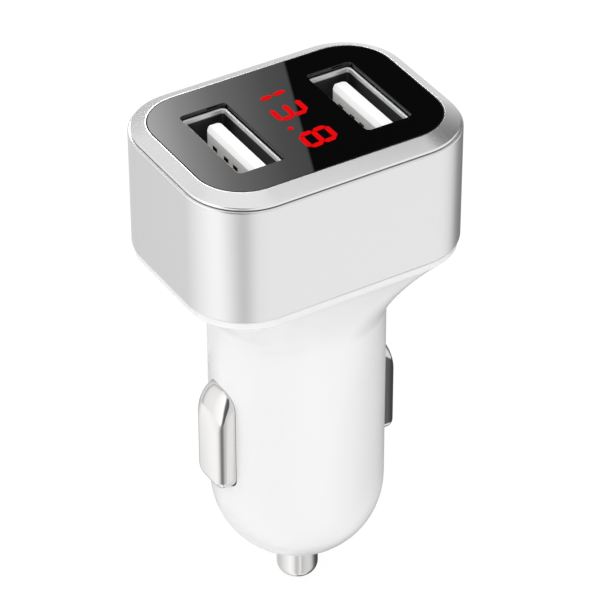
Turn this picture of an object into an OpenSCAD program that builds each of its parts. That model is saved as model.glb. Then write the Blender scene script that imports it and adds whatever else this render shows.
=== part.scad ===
// Car socket plug with two USB outlets and a voltage display.
// The barrel points down, the outlets face up, and the outlets stand side by side along X.
// The origin is on the barrel's axis, halfway down its straight part.

/* [Head] */
// Length of the metal sleeve, along X
head_l = 35; // [34:0.5:46]
// Width of the metal sleeve, along Y
head_w = 26; // [24:0.5:34]
// Corner radius of the sleeve
head_r = 7.6; // [5:0.1:9]
// Height of the sleeve
sleeve_h = 14.9; // [14:0.1:22]
// Wall of the sleeve
sleeve_wall = 1; // [0.8:0.1:1.4]
// How far the sleeve stands out past the bezel
bezel_step = 0.3; // [0.1:0.05:0.6]
// Height of the bezel above the sleeve
bezel_h = 1.2; // [0.9:0.1:2]
// Width of the bezel ring on the sides, seen from above
bezel_side = 1.6; // [1.2:0.1:2.4]
// Width of the bezel ring on the long fronts, seen from above
bezel_front = 2; // [1.2:0.1:2.6]
// Thickness of the front panel
panel_t = 1.2; // [1:0.1:1.6]

/* [Barrel] */
// Diameter of the barrel
barrel_d = 21; // [20.4:0.1:25.2]
// Length of the barrel's straight part
barrel_len = 23.4; // [21:0.1:30]
// Height of the rounded end
dome_h = 10.8; // [9:0.1:13]
// Height of the flared neck between the barrel and the head
neck_h = 11.3; // [9.4:0.1:16]
// Height of the straight rim at the top of the neck
rim_h = 1; // [0.6:0.1:2]
// Wall of the housing
housing_wall = 1.4; // [1:0.1:1.7]
// Height of the skirt that the sleeve is pushed over
skirt_h = 3; // [2:0.1:4]

/* [Tip contact] */
// Diameter of the tip pin
tip_d = 5.1; // [4:0.1:6]
// How far the tip pin stands out of the rounded end
tip_out = 4.9; // [4:0.1:7]
// Travel of the tip pin
tip_travel = 3; // [2:0.1:3.5]
// Thickness of the rounded end's floor round the pin
tip_floor = 2.7; // [2:0.1:3.5]
// Diameter of the wire of the tip spring
spring_wire = 0.6; // [0.4:0.05:0.8]
// Turns of the tip spring
spring_turns = 6; // [4:1:7]

/* [Side contacts] */
// Width of a side contact
contact_w = 5.6; // [4:0.1:6.4]
// Length of a side contact's face
contact_len = 14.3; // [11:0.1:17]
// How far a side contact stands out of the barrel
contact_out = 1.7; // [1:0.1:2.2]
// How far a side contact can be pressed in at its lower end
contact_travel = 1.5; // [0.8:0.1:1.6]
// Distance from the top of the barrel to the top of a side contact
contact_drop = 5.8; // [5:0.1:7]
// Thickness of the contact's sheet
contact_sheet = 0.45; // [0.3:0.05:0.5]

/* [USB outlets] */
// Distance between the outlets
usb_pitch = 16.6; // [16:0.1:20]
// Long side of an outlet's mouth, inside the shell
usb_l = 12.5; // [12.4:0.1:12.6]
// Short side of an outlet's mouth, inside the shell
usb_w = 5.12; // [5:0.02:5.2]
// Thickness of the shell's sheet
usb_sheet = 0.3; // [0.25:0.05:0.4]
// How deep the tongue's end lies under the panel
tongue_drop = 1.6; // [1:0.1:2.5]
// Thickness of the tongue
tongue_t = 1.84; // [1.7:0.02:1.9]
// Width of the tongue
tongue_w = 11.1; // [10.8:0.1:11.4]
// Gap between the tongue and the nearer wall of the shell
tongue_gap = 0.9; // [0.6:0.05:1]

/* [Display] */
// Height of a digit, along X
digit_h = 4.2; // [3:0.1:4.4]
// Width of a digit, along Y
digit_w = 3.2; // [2.2:0.1:3.3]
// Width of a segment
segment_w = 0.65; // [0.3:0.05:0.8]
// Distance from one digit to the next
digit_pitch = 4.8; // [4.4:0.1:4.9]
// Extra room for the point, after the second digit
point_room = 1.5; // [1.2:0.1:1.6]
// Slant of the digits, in degrees
digit_slant = 5; // [0:1:8]

/* [Circuit boards] */
// Thickness of the boards
board_t = 1.2; // [1:0.1:1.6]
// Width of the upright board
main_board_w = 13.2; // [11:0.1:13.4]

/* [Hidden] */
$fn = 48;
eps = 0.01;

// Clearances
push_gap = 0.1;
drop_gap = 0.15;
free_gap = 0.3;
pin_gap = 0.05;

// Levels, from the top of the barrel upwards
barrel_r = barrel_d / 2;
barrel_top = barrel_len / 2;
barrel_bottom = -barrel_len / 2;
rim_top = barrel_top + neck_h;
rim_bottom = rim_top - rim_h;
skirt_top = rim_top + skirt_h;
seam_z = rim_top + sleeve_h;
panel_top = seam_z + bezel_h;
panel_bottom = panel_top - panel_t;

// Inner outlines
sleeve_in_l = head_l - 2 * sleeve_wall;
sleeve_in_w = head_w - 2 * sleeve_wall;
sleeve_in_r = head_r - sleeve_wall;
carrier_l = sleeve_in_l - 2 * push_gap;
carrier_w = sleeve_in_w - 2 * push_gap;
carrier_r = sleeve_in_r - push_gap;
carrier_wall = 1.2;
carrier_roof = 1;
carrier_top = panel_bottom;
skirt_wall = 1.2;
bezel_l = head_l - 2 * bezel_step;
bezel_w = head_w - 2 * bezel_step;
bezel_r = head_r - bezel_step;
panel_l = bezel_l - 2 * bezel_side;
panel_w = bezel_w - 2 * bezel_front;
panel_r = bezel_r - bezel_side;
bore_r = barrel_r - housing_wall;
cavity_step = 1.2; // wall at both ends of the barrel's cavity
neck_wall = 1; // wall of the neck at its top, inside the skirt
witness = 0.05; // step where the neck meets the barrel and the rim
seam_angle = 52.5; // puts the seam of the round wall beside the windows
neck_foot = 1.6; // plain length between the barrel's straight part and the flare

// Rounded end and tip pin
dome_bottom = barrel_bottom - dome_h;
tip_seat = dome_bottom + tip_floor;
tip_r = tip_d / 2;
tip_bore_r = tip_r + pin_gap;
tip_flange_r = 4;
tip_flange_h = 1.2;
tip_rest = tip_seat + push_gap;
tip_end = dome_bottom - tip_out;
tip_corner = 1.5;
tip_pocket_r = tip_flange_r + 0.4;
spring_bottom = tip_rest + tip_flange_h;
spring_r = 2.7;
spring_spare = 1.6;
spring_h = spring_turns * spring_wire + tip_travel + spring_spare;
spring_top = spring_bottom + spring_h;
terminal_t = 0.5;
terminal_r = 3.8;
terminal_ear_h = 3;
terminal_ear_w = 3;

// Side contacts: each turns about its leg's root, inside the neck
contact_top = barrel_top - contact_drop;
contact_bottom = contact_top - contact_len;
contact_face = barrel_r + contact_out;
contact_edge_r = 1;
contact_slope = 3.5;
contact_curl = contact_out + 0.3;
contact_inner = bore_r - push_gap;
contact_sink = 0.4; // depth of the sloping top's root under the barrel's surface
contact_foot_r = 1.7;
leg_w = 3.6;
leg_gap = 0.45;
leg_rise = 8;
leg_out = bore_r - leg_gap;
leg_in = leg_out - contact_sheet;
leg_top = barrel_top + leg_rise;
leg_foot = leg_in - main_board_w / 2 - free_gap;
swing_rise = (contact_face - leg_out) * contact_travel / (leg_top - contact_bottom);
window_slack = free_gap + swing_rise;
window_w = contact_w + 2 * free_gap;

// Outlets
usb_x = usb_pitch / 2;
usb_out_l = usb_l + 2 * usb_sheet;
usb_out_w = usb_w + 2 * usb_sheet;
usb_corner = 0.6;
shell_leg_w = 1.2;
shell_drop = 0.5;
shell_top = panel_top - shell_drop;
head_board_bottom = rim_top;
head_board_top = head_board_bottom + board_t;
insert_base_h = 4.6;
tongue_top = panel_top - tongue_drop;
tongue_x = usb_w / 2 - tongue_gap - tongue_t / 2;
tongue_flank = tongue_x - tongue_t / 2;
usb_pin_drop = 1.6;
usb_pin_top = tongue_top - usb_pin_drop;
usb_pin_w = 1;
usb_pin_t = 0.25;
usb_pin_pitch = 2.5;
usb_inner_pin_pitch = 2;
mouth_chamfer = 0.25;

// Boards
main_board_top = head_board_top;
tab_w = 5;
tab_x = 3.6;
main_board_bottom = spring_top + terminal_t;
skirt_in_l = carrier_l - 2 * skirt_wall;
skirt_in_w = carrier_w - 2 * skirt_wall;
skirt_in_r = max(carrier_r - skirt_wall, 1);
head_board_l = skirt_in_l - 2 * drop_gap;
head_board_w = skirt_in_w - 2 * drop_gap;
head_board_r = skirt_in_r - drop_gap;
board_face = board_t / 2;

// Display, read from +Y to -Y, with the digits' tops towards +X
display_l = 9.6;
display_w = min(panel_w - 4, 17.4);
display_top = panel_bottom - push_gap;
display_h = 7;
display_pin_d = 0.5;
display_pin_pitch = 2.54;
segment_t = 0.3;
digit_y = [digit_pitch + point_room, point_room, -digit_pitch];
point_d = 0.65;

// Share of the way from the barrel to the rim: a wide hollow curve that turns over at the top
function flare(s) = 1 - pow(1 - pow(s, 1.6), 0.88);
function lerp(a, b, t) = a + (b - a) * t;

// Distance from the centre to a rounded rectangle's outline, in the direction of an angle
function rect_ray(l, w, r, a) =
    let (c = abs(cos(a)), s = abs(sin(a)), cx = l / 2 - r, cy = w / 2 - r)
    let (side = c > 0 ? l / 2 / c : 1e9, front = s > 0 ? w / 2 / s : 1e9)
    let (b = c * cx + s * cy, q = b * b - (cx * cx + cy * cy - r * r))
    side * s <= cy ? side : front * c <= cx ? front : b + sqrt(max(q, 0));

module rounded_rect(l, w, r) {
    square([l - 2 * r, w], center = true);
    square([l, w - 2 * r], center = true);
    for (sx = [-1, 1], sy = [-1, 1])
        translate([sx * (l / 2 - r), sy * (w / 2 - r)])
            circle(r);
}

module rounded_block(l, w, r, z0, z1) {
    translate([0, 0, z0])
        linear_extrude(z1 - z0)
            rounded_rect(l, w, r);
}

// Flared neck: rings that turn from a circle into a rounded rectangle
module neck_loft(l, w, r, circle_r, z0, z1) {
    sides = 64;
    rings = 12;
    foot = 0.6;
    function ring(z, t) = [for (k = [0:sides - 1])
        let (a = 360 * k / sides, d = lerp(circle_r - witness, rect_ray(l, w, r, a), t))
        [d * cos(a), d * sin(a), z]];
    last = rings + 1;
    low_centre = (last + 1) * sides;
    high_centre = low_centre + 1;
    points = concat(
        ring(z0 - foot, 0),
        [for (i = [0:rings]) each ring(lerp(z0, z1, i / rings), flare(i / rings))],
        [[0, 0, z0 - foot], [0, 0, z1]]
    );
    faces = concat(
        [for (k = [0:sides - 1]) [low_centre, k, (k + 1) % sides]],
        [for (i = [0:last - 1], k = [0:sides - 1])
            let (a = i * sides + k, b = i * sides + (k + 1) % sides)
            each [[a, a + sides, b + sides], [a, b + sides, b]]],
        [for (k = [0:sides - 1]) [high_centre, last * sides + (k + 1) % sides, last * sides + k]]
    );
    polyhedron(points, faces, convexity = 4);
}

// Round body with an elliptical lower end
module domed_rod(r, z_top, z_shoulder, z_end) {
    steps = 14;
    rotate_extrude()
        polygon(concat(
            [[0, z_top], [0, z_end]],
            [for (i = [1:steps])
                [r * sin(90 * i / steps), z_shoulder - (z_shoulder - z_end) * cos(90 * i / steps)]],
            [[r, z_top]]
        ));
}

// Barrel and rounded end, with the seam of the round wall beside the windows
module round_barrel() {
    rotate([0, 0, seam_angle]) {
        translate([0, 0, barrel_bottom])
            cylinder(r = barrel_r, h = barrel_len + neck_foot);
        domed_rod(barrel_r, barrel_bottom + eps, barrel_bottom, dome_bottom);
    }
}

// Front outline of a side contact: round at the top, small corners at the bottom
module contact_front(w, top, bottom, foot_r) {
    arch_z = top - w / 2;
    translate([0, arch_z])
        circle(d = w);
    translate([-w / 2, bottom + foot_r])
        square([w, arch_z - bottom - foot_r]);
    translate([-w / 2 + foot_r, bottom])
        square([w - 2 * foot_r, 2 * foot_r]);
    for (sy = [-1, 1])
        translate([sy * (w / 2 - foot_r), bottom + foot_r])
            circle(foot_r);
}

// Turns a front outline into a block through both walls of the barrel
module through_barrel() {
    rotate([90, 0, 90])
        linear_extrude(2 * barrel_d, center = true)
            children();
}

module contact_window() {
    through_barrel()
        contact_front(window_w, contact_top + window_slack, contact_bottom - window_slack, contact_foot_r);
}

module barrel_housing() {
    cavity_bottom = tip_seat + cavity_step;
    throat_h = neck_foot + cavity_step;
    color("white")
    difference() {
        union() {
            rounded_block(bezel_l, bezel_w, bezel_r, rim_bottom, rim_top);
            rounded_block(carrier_l, carrier_w, carrier_r, rim_bottom, skirt_top);
            neck_loft(bezel_l - 2 * witness, bezel_w - 2 * witness, bezel_r - witness,
                barrel_r, barrel_top + neck_foot, rim_bottom + eps);
            round_barrel();
        }
        rounded_block(skirt_in_l, skirt_in_w, skirt_in_r, rim_top, skirt_top + eps);
        neck_loft(skirt_in_l - 2 * neck_wall, skirt_in_w - 2 * neck_wall, skirt_in_r - neck_wall,
            bore_r, barrel_top + throat_h, rim_top + eps);
        translate([0, 0, barrel_bottom])
            cylinder(r = bore_r, h = barrel_len + throat_h);
        domed_rod(bore_r, barrel_bottom + eps, barrel_bottom, cavity_bottom);
        translate([0, 0, tip_seat])
            cylinder(r = tip_pocket_r, h = dome_h);
        translate([0, 0, dome_bottom - 1])
            cylinder(r = tip_bore_r, h = tip_floor + 2);
        contact_window();
    }
}

module head_sleeve() {
    color("silver")
    difference() {
        rounded_block(head_l, head_w, head_r, rim_top, seam_z);
        rounded_block(sleeve_in_l, sleeve_in_w, sleeve_in_r, rim_top - 1, seam_z + 1);
    }
}

// Ring with a sloping top, and a skirt that drops into the sleeve
module top_bezel() {
    lip = 0.35;
    land = 0.3;
    edge = 0.1;
    color("gainsboro")
    difference() {
        union() {
            hull() {
                rounded_block(bezel_l, bezel_w, bezel_r, seam_z, seam_z + land, $fn = 64);
                rounded_block(panel_l + 2 * lip, panel_w + 2 * lip, panel_r + lip,
                    panel_top - edge, panel_top + edge, $fn = 64);
            }
            rounded_block(carrier_l, carrier_w, carrier_r, panel_bottom - carrier_roof, seam_z + land);
        }
        rounded_block(panel_l, panel_w, panel_r, panel_bottom - carrier_roof - 1, panel_top + 1);
    }
}

module usb_at(side) {
    translate([side * usb_x, 0, 0])
        children();
}

module front_panel() {
    fit = push_gap / 2;
    color("black")
    difference() {
        rounded_block(panel_l - 2 * fit, panel_w - 2 * fit, panel_r - fit, panel_bottom, panel_top);
        for (side = [-1, 1])
            usb_at(side) {
                rounded_block(usb_out_w + 2 * push_gap, usb_out_l + 2 * push_gap, usb_corner + push_gap,
                    panel_bottom - 1, panel_top + 1);
                hull() {
                    rounded_block(usb_out_w + 2 * push_gap, usb_out_l + 2 * push_gap, usb_corner + push_gap,
                        panel_top - mouth_chamfer, panel_top - mouth_chamfer + eps, $fn = 32);
                    rounded_block(usb_out_w + 2 * push_gap + 2 * mouth_chamfer,
                        usb_out_l + 2 * push_gap + 2 * mouth_chamfer, usb_corner + push_gap + mouth_chamfer,
                        panel_top, panel_top + eps, $fn = 32);
                }
            }
    }
}

// Inner frame that carries the panel and holds the outlets and the display
module head_carrier() {
    lip_l = panel_l - 2 * drop_gap;
    lip_w = panel_w - 2 * drop_gap;
    lip_r = panel_r - drop_gap;
    shoulder = panel_bottom - carrier_roof - push_gap;
    color("dimgray")
    difference() {
        union() {
            rounded_block(carrier_l, carrier_w, carrier_r, skirt_top, shoulder);
            rounded_block(lip_l, lip_w, lip_r, shoulder - eps, carrier_top);
        }
        rounded_block(carrier_l - 2 * carrier_wall, carrier_w - 2 * carrier_wall, carrier_r - carrier_wall,
            skirt_top - 1, shoulder - carrier_roof);
        for (side = [-1, 1])
            usb_at(side)
                rounded_block(usb_out_w + 2 * drop_gap, usb_out_l + 2 * drop_gap, usb_corner + drop_gap,
                    shoulder - carrier_roof - 1, panel_top);
        translate([0, 0, panel_top / 2 + shoulder / 2])
            cube([display_l + 2 * drop_gap, display_w + 2 * drop_gap, 3 * (panel_top - shoulder)], center = true);
    }
}

// Folded sheet shell with a closed back and four legs in the board
module usb_shell() {
    leg_depth = board_t + 0.4;
    spring_slot_w = 1.6;
    spring_slot_h = 3.2;
    spring_slot_drop = 6;
    difference() {
        union() {
            rounded_block(usb_out_w, usb_out_l, usb_corner, head_board_top, shell_top);
            for (sy = [-1, 1])
                translate([0, sy * (usb_out_l / 2 - usb_sheet / 2), head_board_top - leg_depth / 2 + eps])
                    cube([shell_leg_w, usb_sheet, leg_depth], center = true);
        }
        rounded_block(usb_w, usb_l, usb_corner - usb_sheet / 2, head_board_top - 1 + leg_depth / 2, shell_top + 1);
        for (sx = [-1, 1], sy = [-1, 1])
            translate([sx * usb_out_w / 2, sy * usb_l / 4, shell_top - spring_slot_drop])
                cube([6 * usb_sheet, spring_slot_w, spring_slot_h], center = true);
    }
}

module usb_shell_left() {
    color("silver") usb_at(-1) usb_shell();
}

module usb_shell_right() {
    color("silver") usb_at(1) usb_shell();
}

function usb_pin_y(k) = sign(1.5 - k) * (usb_inner_pin_pitch / 2 + (k % 3 == 0 ? usb_pin_pitch : 0));

module usb_pin_slots(slack) {
    for (k = [0:3])
        translate([tongue_flank - slack, usb_pin_y(k) - usb_pin_w / 2 - slack, head_board_top - 1])
            cube([usb_pin_t + 2 * slack, usb_pin_w + 2 * slack, usb_pin_top + slack - head_board_top + 1]);
}

// Moulded insert: a base that fills the back of the shell and the tongue
module usb_insert() {
    round_r = 0.5;
    chamfer = 0.7;
    clear = 0.05;
    difference() {
        union() {
            rounded_block(usb_w - 2 * clear, usb_l - 2 * clear, usb_corner - usb_sheet / 2,
                head_board_top, head_board_top + insert_base_h);
            translate([tongue_x, 0, 0])
                rounded_block(tongue_t, tongue_w, round_r, head_board_top + 1, tongue_top);
        }
        usb_pin_slots(clear);
        translate([tongue_flank, 0, tongue_top])
            rotate([0, 45, 0])
                cube([chamfer, tongue_w + 1, chamfer], center = true);
    }
}

module usb_insert_left() {
    color("white") usb_at(-1) usb_insert();
}

module usb_insert_right() {
    color("white") usb_at(1) usb_insert();
}

module usb_pins() {
    tail = board_t + 0.5;
    for (k = [0:3])
        translate([tongue_flank, usb_pin_y(k) - usb_pin_w / 2, head_board_top - tail])
            cube([usb_pin_t, usb_pin_w, usb_pin_top - head_board_top + tail]);
}

module usb_pins_left() {
    color("gold") usb_at(-1) usb_pins();
}

module usb_pins_right() {
    color("gold") usb_at(1) usb_pins();
}

// One segment: a bar with pointed ends, lying along X
module segment_bar(len) {
    h = segment_w / 2;
    translate([0, 0, display_top - segment_t])
        linear_extrude(segment_t)
            polygon([[-len / 2, 0], [-len / 2 + h, h], [len / 2 - h, h],
                [len / 2, 0], [len / 2 - h, -h], [-len / 2 + h, -h]]);
}

// Segments of one digit: top, upper right, lower right, bottom, lower left, upper left, middle
module digit(lit) {
    gap = 0.08;
    across = digit_w - segment_w - 2 * gap;
    along = (digit_h - segment_w) / 2 - 2 * gap;
    half_w = (digit_w - segment_w) / 2;
    half_h = (digit_h - segment_w) / 2;
    places = [[half_h, 0, 90], [half_h / 2, -half_w, 0], [-half_h / 2, -half_w, 0], [-half_h, 0, 90],
        [-half_h / 2, half_w, 0], [half_h / 2, half_w, 0], [0, 0, 90]];
    for (i = [0:6])
        if (lit[i] == 1)
            multmatrix([[1, 0, 0, 0], [tan(digit_slant), 1, 0, 0], [0, 0, 1, 0], [0, 0, 0, 1]])
                translate([places[i][0], places[i][1], 0])
                    rotate([0, 0, places[i][2]])
                        segment_bar(places[i][2] == 90 ? across : along);
}

shown = [[0, 1, 1, 0, 0, 0, 0], [1, 1, 1, 1, 0, 0, 1], [1, 1, 1, 1, 1, 1, 1]];

module digits(want) {
    for (k = [0:2])
        translate([0, digit_y[k], 0])
            digit([for (s = shown[k]) s == want ? 1 : 0]);
}

module display_point() {
    translate([-digit_h / 2 + point_d / 2, (digit_y[1] + digit_y[2]) / 2 - digit_w / 16, display_top - segment_t])
        cylinder(d = point_d, h = segment_t);
}

module display_segments_lit() {
    color("red") {
        digits(1);
        display_point();
    }
}

module display_segments_dark() {
    color("darkred") digits(0);
}

module display_pin_places() {
    for (sx = [-1, 1], k = [-2.5:2.5])
        translate([sx * (display_l / 2 - 1), k * display_pin_pitch, 0])
            children();
}

module display_case() {
    slack = 0.03;
    pin_tail = 0.4;
    pocket_side = 0.4;
    pocket_end = 0.6;
    color("darkslategray")
    difference() {
        union() {
            translate([-display_l / 2, -display_w / 2, display_top - display_h])
                cube([display_l, display_w, display_h]);
            display_pin_places()
                translate([0, 0, head_board_bottom - pin_tail])
                    cylinder(d = display_pin_d, h = display_top - display_h - head_board_bottom + pin_tail + eps);
        }
        translate([-digit_h / 2 - pocket_side, -display_w / 2 + pocket_end, display_top - segment_t - slack])
            cube([digit_h + 2 * pocket_side, display_w - 2 * pocket_end, 1]);
    }
}

// Flat board that carries the outlets and the display
module head_board() {
    color("darkgreen")
    difference() {
        rounded_block(head_board_l, head_board_w, head_board_r, head_board_bottom, head_board_top);
        for (sx = [-1, 1])
            translate([sx * tab_x, 0, head_board_top])
                cube([tab_w + 2 * push_gap, board_t + 2 * push_gap, 4 * board_t], center = true);
        for (side = [-1, 1], sy = [-1, 1])
            translate([side * usb_x, sy * (usb_out_l / 2 - usb_sheet / 2), head_board_top])
                cube([shell_leg_w + 2 * push_gap, usb_sheet + 2 * push_gap, 4 * board_t], center = true);
        for (side = [-1, 1], k = [0:3])
            translate([side * usb_x + tongue_flank + usb_pin_t / 2, usb_pin_y(k), head_board_top])
                cube([usb_pin_t + 2 * push_gap, usb_pin_w + 2 * push_gap, 4 * board_t], center = true);
        display_pin_places()
            translate([0, 0, head_board_bottom - 1])
                cylinder(d = display_pin_d + 2 * push_gap, h = board_t + 2);
    }
}

// Upright board, with two tabs soldered into the flat one
module main_board() {
    corner_cut = 2;
    color("darkgreen")
    difference() {
        union() {
            translate([-main_board_w / 2, -board_face, main_board_bottom])
                cube([main_board_w, board_t, head_board_bottom - push_gap - main_board_bottom]);
            for (sx = [-1, 1])
                translate([sx * tab_x - tab_w / 2, -board_face, head_board_bottom - 1])
                    cube([tab_w, board_t, main_board_top - head_board_bottom + 1]);
        }
        for (sx = [-1, 1])
            translate([sx * main_board_w / 2, 0, main_board_bottom])
                rotate([90, 0, 0])
                    cylinder(r = corner_cut, h = 2 * board_t, center = true);
    }
}

// Tip pin with a flange inside the rounded end and a rounded outer end
module tip_contact() {
    steps = 8;
    color("silver")
    rotate_extrude()
        polygon(concat(
            [[0, spring_bottom], [0, tip_end]],
            [for (i = [0:steps])
                [tip_r - tip_corner + tip_corner * sin(90 * i / steps),
                 tip_end + tip_corner - tip_corner * cos(90 * i / steps)]],
            [[tip_r, tip_rest], [tip_flange_r, tip_rest], [tip_flange_r, spring_bottom]]
        ));
}

// Coil spring: an octagonal wire swept along a helix with closed ends
module tip_spring() {
    sides = 8;
    steps = 18;
    count = spring_turns * steps;
    wire_r = spring_wire / 2;
    low = spring_bottom + wire_r;
    rise = spring_h - spring_wire - 2 * spring_wire;
    function climb(t) = t < 1 ? t * spring_wire : t > spring_turns - 1 ?
        spring_h - 2 * wire_r - (spring_turns - t) * spring_wire :
        spring_wire + (t - 1) * rise / (spring_turns - 2);
    points = [for (i = [0:count], j = [0:sides - 1])
        let (t = i / steps, a = 360 * t, b = 360 * j / sides, d = spring_r + wire_r * cos(b))
        [d * cos(a), d * sin(a), low + climb(t) + wire_r * sin(b)]];
    faces = concat(
        [[for (j = [0:sides - 1]) j]],
        [for (i = [0:count - 1], j = [0:sides - 1])
            [i * sides + j, (i + 1) * sides + j, (i + 1) * sides + (j + 1) % sides, i * sides + (j + 1) % sides]],
        [[for (j = [sides - 1:-1:0]) count * sides + j]]
    );
    color("lightgray") polyhedron(points, faces, convexity = 10);
}

// Brass cap that the spring presses on, with two ears on the upright board
module spring_terminal() {
    ear_t = 0.4;
    color("goldenrod") {
        translate([0, 0, spring_top])
            cylinder(r = terminal_r, h = terminal_t);
        for (sy = [-1, 1])
            translate([-terminal_ear_w / 2, sy * (board_face + ear_t / 2 + 0.02) - ear_t / 2, spring_top + terminal_t - eps])
                cube([terminal_ear_w, ear_t, terminal_ear_h]);
    }
}

// Outline of a side contact seen from the side: sloping top, straight face, curled lower end
function contact_outline(inset) =
    let (face = contact_face - inset, top = contact_top - inset, bottom = contact_bottom + inset)
    let (back = inset > 0 ? contact_inner - 1 : contact_inner, root = barrel_r - contact_sink)
    let (curl = contact_curl - inset, steps = 6)
    concat(
        [[back, bottom], [face - curl, bottom]],
        [for (i = [1:steps]) let (a = 90 * i / steps)
            [face - curl + curl * sin(a), bottom + curl - curl * cos(a)]],
        [for (i = [0:steps]) let (a = 90 * i / steps)
            [root + (face - root) * cos(a), top - contact_slope + contact_slope * sin(a)]],
        [[back, top]]
    );

module contact_form(inset) {
    w = contact_w - 2 * inset;
    edge = contact_edge_r - min(inset, 0.4);
    face = contact_face - inset;
    intersection() {
        rotate([90, 0, 0])
            linear_extrude(contact_w + 1, center = true)
                polygon(contact_outline(inset));
        translate([0, 0, contact_bottom - 1])
            linear_extrude(contact_len + 2) {
                translate([0, -w / 2])
                    square([face - edge, w]);
                translate([0, -w / 2 + edge])
                    square([face, w - 2 * edge]);
                for (sy = [-1, 1])
                    translate([face - edge, sy * (w / 2 - edge)])
                        circle(edge);
            }
        through_barrel()
            contact_front(w, contact_top - inset, contact_bottom + inset, contact_foot_r - inset);
    }
}

// Stamped contact: a hollow face that stands out of the barrel, and a springy leg up into the neck
module side_contact() {
    shelf_t = 0.75;
    shelf_top = contact_top - contact_sheet;
    shelf_bottom = shelf_top - shelf_t;
    shelf_out = contact_inner + contact_sheet;
    difference() {
        contact_form(0);
        contact_form(contact_sheet);
    }
    rotate([90, 0, 0])
        linear_extrude(leg_w, center = true)
            polygon([
                [leg_in, shelf_bottom], [leg_in, leg_top], [leg_in - leg_foot, leg_top],
                [leg_in - leg_foot, leg_top + contact_sheet], [leg_out, leg_top + contact_sheet],
                [leg_out, shelf_top], [shelf_out, shelf_top], [shelf_out, shelf_bottom]
            ]);
}

module side_contact_left() {
    color("silver") mirror([1, 0, 0]) side_contact();
}

module side_contact_right() {
    color("silver") side_contact();
}

// Parts on the upright board
inductor_z = barrel_top - 1;
inductor_side = 7.3;
inductor_h = 4.5;
inductor_slot = 1.6;
inductor_flange = 1;
coil_depth = 0.25;
input_can_d = 6.3;
input_can_h = 8;
output_can_d = 5;
output_can_h = 7.5;
output_can_z = main_board_bottom + 6.3;
can_gap = 0.05;
lead_pitch = 1.27;
lead_w = 0.4;
lead_t = 0.5;
converter_z = barrel_top - 4;
diode_z = main_board_bottom + 3.3;
fuse_z = barrel_top + 2.6;

module on_front(z) {
    translate([0, -board_face, z]) rotate([90, 0, 0]) children();
}

module on_back(z) {
    translate([0, board_face, z]) rotate([-90, 0, 0]) children();
}

module inductor_core() {
    color("dimgray")
    on_back(inductor_z) {
        cylinder(d = inductor_side, h = inductor_flange);
        cylinder(d = inductor_side - 2 * inductor_slot, h = inductor_h);
        translate([0, 0, inductor_h - inductor_flange])
            cylinder(d = inductor_side, h = inductor_flange);
    }
}

module inductor_coil() {
    gap = 0.05;
    color("chocolate")
    on_back(inductor_z)
        difference() {
            translate([0, 0, inductor_flange + gap])
                cylinder(d = inductor_side - 2 * coil_depth, h = inductor_h - 2 * inductor_flange - 2 * gap);
            cylinder(d = inductor_side - 2 * inductor_slot + 2 * gap, h = inductor_h);
        }
}

module can_capacitor(d, h) {
    sleeve_end = 0.6;
    rim = 0.4;
    cylinder(d = d, h = h - sleeve_end);
    cylinder(d = d - 2 * rim, h = h);
}

module input_capacitor() {
    color("slategray")
        translate([0, -board_face - input_can_d / 2 - can_gap, spring_top + terminal_t + terminal_ear_h + free_gap])
            can_capacitor(input_can_d, input_can_h);
}

module output_capacitor() {
    color("slategray")
        translate([0, board_face + output_can_d / 2 + can_gap, output_can_z])
            can_capacitor(output_can_d, output_can_h);
}

// Small outline package with legs on two sides
module leaded_chip(l, w, h, legs) {
    lift = 0.1;
    foot = 0.6;
    translate([-l / 2, -w / 2, lift])
        cube([l, w, h]);
    for (k = [0:legs - 1], sy = [-1, 1])
        translate([(k - (legs - 1) / 2) * lead_pitch - lead_w / 2, sy * (w / 2 + foot / 2 - eps) - foot / 2, 0])
            cube([lead_w, foot, lead_t]);
}

module converter_chip() {
    color("black") on_front(converter_z) leaded_chip(4.9, 3.9, 1.5, 4);
}

module display_chip() {
    chip_y = 5.2;
    color("black")
        translate([0, chip_y, head_board_bottom])
            rotate([180, 0, 90])
                leaded_chip(7.2, 3.9, 1.5, 5);
}

module diode() {
    color("black")
        on_back(diode_z)
            translate([terminal_ear_w / 2 + 0.4, -1.3, 0])
                cube([4.3, 2.6, 2.2]);
}

module fuse() {
    color("ivory")
        on_front(fuse_z)
            translate([-3.05, -1.3, 0])
                cube([6.1, 2.6, 1.5]);
}

module chip_components() {
    size = [1.6, 0.8, 0.5];
    color("tan") {
        for (k = [-1, 1], z = [barrel_top - 9, barrel_top - 11])
            on_front(z)
                translate([k * 4.2 - size[0] / 2, -size[1] / 2, 0])
                    cube(size);
        for (k = [-1, 1], z = [main_board_bottom + 8.1, main_board_bottom + 11.1])
            on_back(z)
                translate([k * 4.6 - size[0] / 2, -size[1] / 2, 0])
                    cube(size);
        for (k = [-1, 1])
            translate([k * 1.4 - size[0] / 2, -6.2 - size[1] / 2, head_board_bottom - size[2]])
                cube(size);
    }
}

front_panel();
top_bezel();
head_sleeve();
head_carrier();
barrel_housing();
tip_contact();
tip_spring();
spring_terminal();
side_contact_left();
side_contact_right();
usb_shell_left();
usb_shell_right();
usb_insert_left();
usb_insert_right();
usb_pins_left();
usb_pins_right();
display_case();
display_segments_lit();
display_segments_dark();
head_board();
main_board();
inductor_core();
inductor_coil();
input_capacitor();
output_capacitor();
converter_chip();
display_chip();
diode();
fuse();
chip_components();
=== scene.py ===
import math

import bmesh
import bpy
from mathutils import Matrix, Vector


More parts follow.
